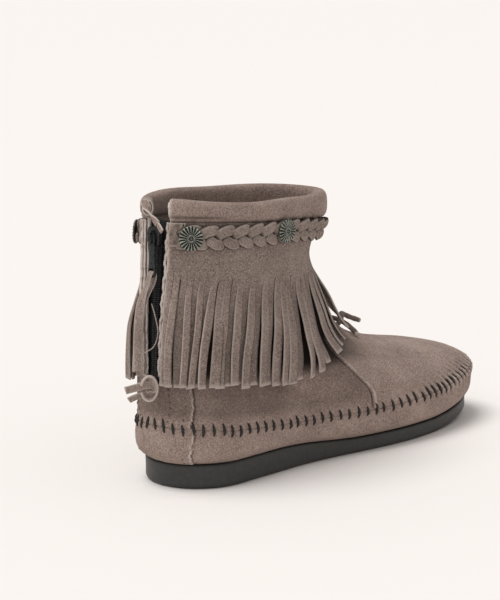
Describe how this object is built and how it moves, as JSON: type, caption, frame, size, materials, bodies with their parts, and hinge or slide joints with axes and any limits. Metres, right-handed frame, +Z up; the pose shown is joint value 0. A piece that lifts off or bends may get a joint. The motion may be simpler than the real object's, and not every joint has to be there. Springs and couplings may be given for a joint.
{
  "type": "fringed moccasin boot",
  "caption": "Ankle-high suede moccasin boot for the right foot, open at the padded collar, with a fringe band, braid, round ornaments and a back zip on a flat rubber sole.",
  "frame": {"origin": "on the floor under the heel, 30 mm in front of the back of the sole", "axes": "+X towards the toe, +Y towards the inner side of the right foot, +Z up"},
  "size_m": [0.269, 0.0972, 0.1554],
  "materials": {
    "suede": "napped suede, matte",
    "rubber": "matte",
    "zip_cloth": "black woven tape and nylon coil",
    "dark_metal": "antiqued dark plating"
  },
  "bodies": {
    "boot": {"upper": "suede", "outsole": "rubber", "insole": "suede", "collar_roll": "suede", "fringe": "suede", "braid": "suede", "braid_end_outer": "suede", "braid_end_inner": "suede", "concho_1": "dark_metal", "concho_2": "dark_metal", "concho_3": "dark_metal", "concho_4": "dark_metal", "concho_5": "dark_metal", "zip_tape": "zip_cloth", "zip_coil": "zip_cloth", "zip_slider": "dark_metal", "lace_end_outer": "suede", "lace_end_inner": "suede"},
    "pull": {"zip_pull": "dark_metal", "pull_strap": "suede"}
  },
  "joints": [
    {"name": "pull_swing", "type": "hinge", "parent": "boot", "child": "pull", "pos_m": [-0.0327, 0, 0.1375], "axis": [0, 1, 0], "range_deg": [0, 110]}
  ]
}
